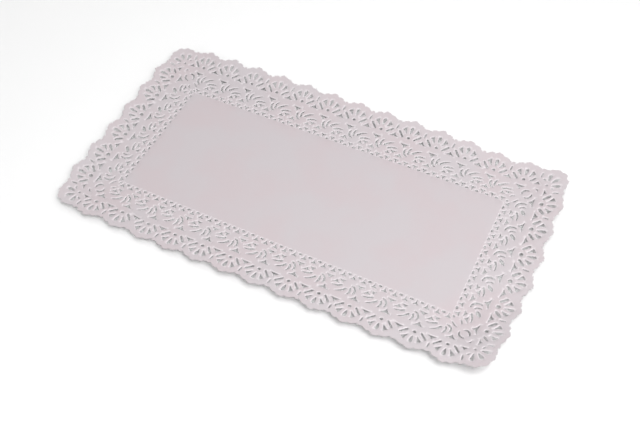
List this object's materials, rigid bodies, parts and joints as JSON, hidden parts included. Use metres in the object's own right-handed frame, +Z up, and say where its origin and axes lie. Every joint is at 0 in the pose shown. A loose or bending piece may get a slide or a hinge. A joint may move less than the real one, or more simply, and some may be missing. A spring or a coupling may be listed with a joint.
{
  "type": "paper doily",
  "caption": "Long rectangular sheet of white lace paper with a plain flat middle and a pierced, scalloped border of fans that rises slightly towards its edge.",
  "frame": {"origin": "bottom centre of the bounding box, under the middle of the sheet, on the surface it rests on", "axes": "+X along the long edges, +Y along the short edges, +Z up out of the sheet's front"},
  "size_m": [0.3758, 0.1994, 0.0183],
  "materials": {
    "lace_paper": "matt"
  },
  "bodies": {
    "root": {"doily": "lace_paper"}
  },
  "joints": []
}
